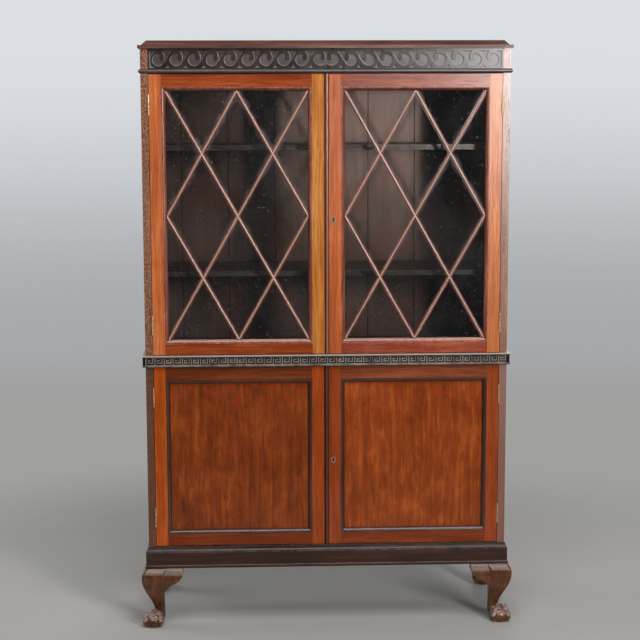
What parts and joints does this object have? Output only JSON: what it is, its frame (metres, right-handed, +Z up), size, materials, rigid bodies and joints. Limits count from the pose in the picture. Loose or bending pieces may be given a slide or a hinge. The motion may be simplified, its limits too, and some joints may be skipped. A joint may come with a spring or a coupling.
{
  "type": "bookcase with glass doors",
  "caption": "Mahogany bookcase with lattice-glazed doors over a panelled cupboard, on cabriole legs with ball and claw feet.",
  "frame": {"origin": "on the floor, midway between the sides and midway from front to back of the carcase", "axes": "+Z up, +X to the right of someone facing the doors, +Y towards the back"},
  "size_m": [1.1378, 0.438, 1.776],
  "materials": {
    "frame_wood": "polished mahogany",
    "panel_wood": "polished ribbon-figured mahogany",
    "dark_wood": "dark polished mahogany, carved",
    "carcase_wood": "polished mahogany",
    "inside_wood": "stained wood, satin",
    "glass": "clear sheet glass",
    "brass": "aged brass",
    "steel": "dull steel"
  },
  "bodies": {
    "carcase": {"back_boards": "inside_wood", "back_legs": "dark_wood", "bottom_board": "inside_wood", "carcase_top": "inside_wood", "case_hinge_leaves": "brass", "cornice": "carcase_wood", "cupboard_shelf": "inside_wood", "frieze_bead": "dark_wood", "frieze_board": "dark_wood", "front_legs": "dark_wood", "hinge_pins": "brass", "key_band": "dark_wood", "middle_board": "inside_wood", "plinth_boards": "dark_wood", "plinth_cap": "dark_wood", "shelf_battens": "inside_wood", "shelf_lower": "inside_wood", "shelf_upper": "inside_wood", "side_left": "carcase_wood", "side_right": "carcase_wood"},
    "upper_left_door": {"upper_left_bolt_plates": "brass", "upper_left_glass": "glass", "upper_left_glazing_beads": "frame_wood", "upper_left_hinge_leaves": "brass", "upper_left_lattice": "frame_wood", "upper_left_moulding": "frame_wood", "upper_left_rails": "frame_wood", "upper_left_stiles": "frame_wood"},
    "upper_right_door": {"upper_right_escutcheon": "brass", "upper_right_glass": "glass", "upper_right_glazing_beads": "frame_wood", "upper_right_hinge_leaves": "brass", "upper_right_lattice": "frame_wood", "upper_right_lock_case": "steel", "upper_right_meeting_bead": "frame_wood", "upper_right_moulding": "frame_wood", "upper_right_rails": "frame_wood", "upper_right_stiles": "frame_wood"},
    "lower_left_door": {"lower_left_bolt_plates": "brass", "lower_left_hinge_leaves": "brass", "lower_left_moulding": "frame_wood", "lower_left_panel": "panel_wood", "lower_left_rails": "frame_wood", "lower_left_stiles": "frame_wood"},
    "lower_right_door": {"lower_right_escutcheon": "brass", "lower_right_hinge_leaves": "brass", "lower_right_lock_case": "steel", "lower_right_meeting_bead": "frame_wood", "lower_right_moulding": "frame_wood", "lower_right_panel": "panel_wood", "lower_right_rails": "frame_wood", "lower_right_stiles": "frame_wood"},
    "upper_right_lock_bolt": {"upper_right_lock_bolt": "steel"},
    "lower_right_lock_bolt": {"lower_right_lock_bolt": "steel"},
    "upper_left_top_bolt": {"upper_left_top_bolt": "steel"},
    "upper_left_bottom_bolt": {"upper_left_bottom_bolt": "steel"},
    "lower_left_top_bolt": {"lower_left_top_bolt": "steel"},
    "lower_left_bottom_bolt": {"lower_left_bottom_bolt": "steel"}
  },
  "joints": [
    {"name": "upper_left_hinge", "type": "hinge", "parent": "carcase", "child": "upper_left_door", "pos_m": [-0.52225, -0.1965, 1.26175], "axis": [0, 0, -1], "range_deg": [0, 170]},
    {"name": "upper_right_hinge", "type": "hinge", "parent": "carcase", "child": "upper_right_door", "pos_m": [0.52225, -0.1965, 1.26175], "axis": [0, 0, 1], "range_deg": [0, 170]},
    {"name": "upper_lock_throw", "type": "slide", "parent": "upper_right_door", "child": "upper_right_lock_bolt", "axis": [-1, 0, 0], "range_m": [0, 0.008]},
    {"name": "upper_top_bolt_slide", "type": "slide", "parent": "upper_left_door", "child": "upper_left_top_bolt", "axis": [0, 0, 1], "range_m": [0, 0.014]},
    {"name": "upper_bottom_bolt_slide", "type": "slide", "parent": "upper_left_door", "child": "upper_left_bottom_bolt", "axis": [0, 0, -1], "range_m": [0, 0.014]},
    {"name": "lower_left_hinge", "type": "hinge", "parent": "carcase", "child": "lower_left_door", "pos_m": [-0.52225, -0.1965, 0.53125], "axis": [0, 0, -1], "range_deg": [0, 170]},
    {"name": "lower_right_hinge", "type": "hinge", "parent": "carcase", "child": "lower_right_door", "pos_m": [0.52225, -0.1965, 0.53125], "axis": [0, 0, 1], "range_deg": [0, 170]},
    {"name": "lower_lock_throw", "type": "slide", "parent": "lower_right_door", "child": "lower_right_lock_bolt", "axis": [-1, 0, 0], "range_m": [0, 0.008]},
    {"name": "lower_top_bolt_slide", "type": "slide", "parent": "lower_left_door", "child": "lower_left_top_bolt", "axis": [0, 0, 1], "range_m": [0, 0.014]},
    {"name": "lower_bottom_bolt_slide", "type": "slide", "parent": "lower_left_door", "child": "lower_left_bottom_bolt", "axis": [0, 0, -1], "range_m": [0, 0.014]}
  ]
}
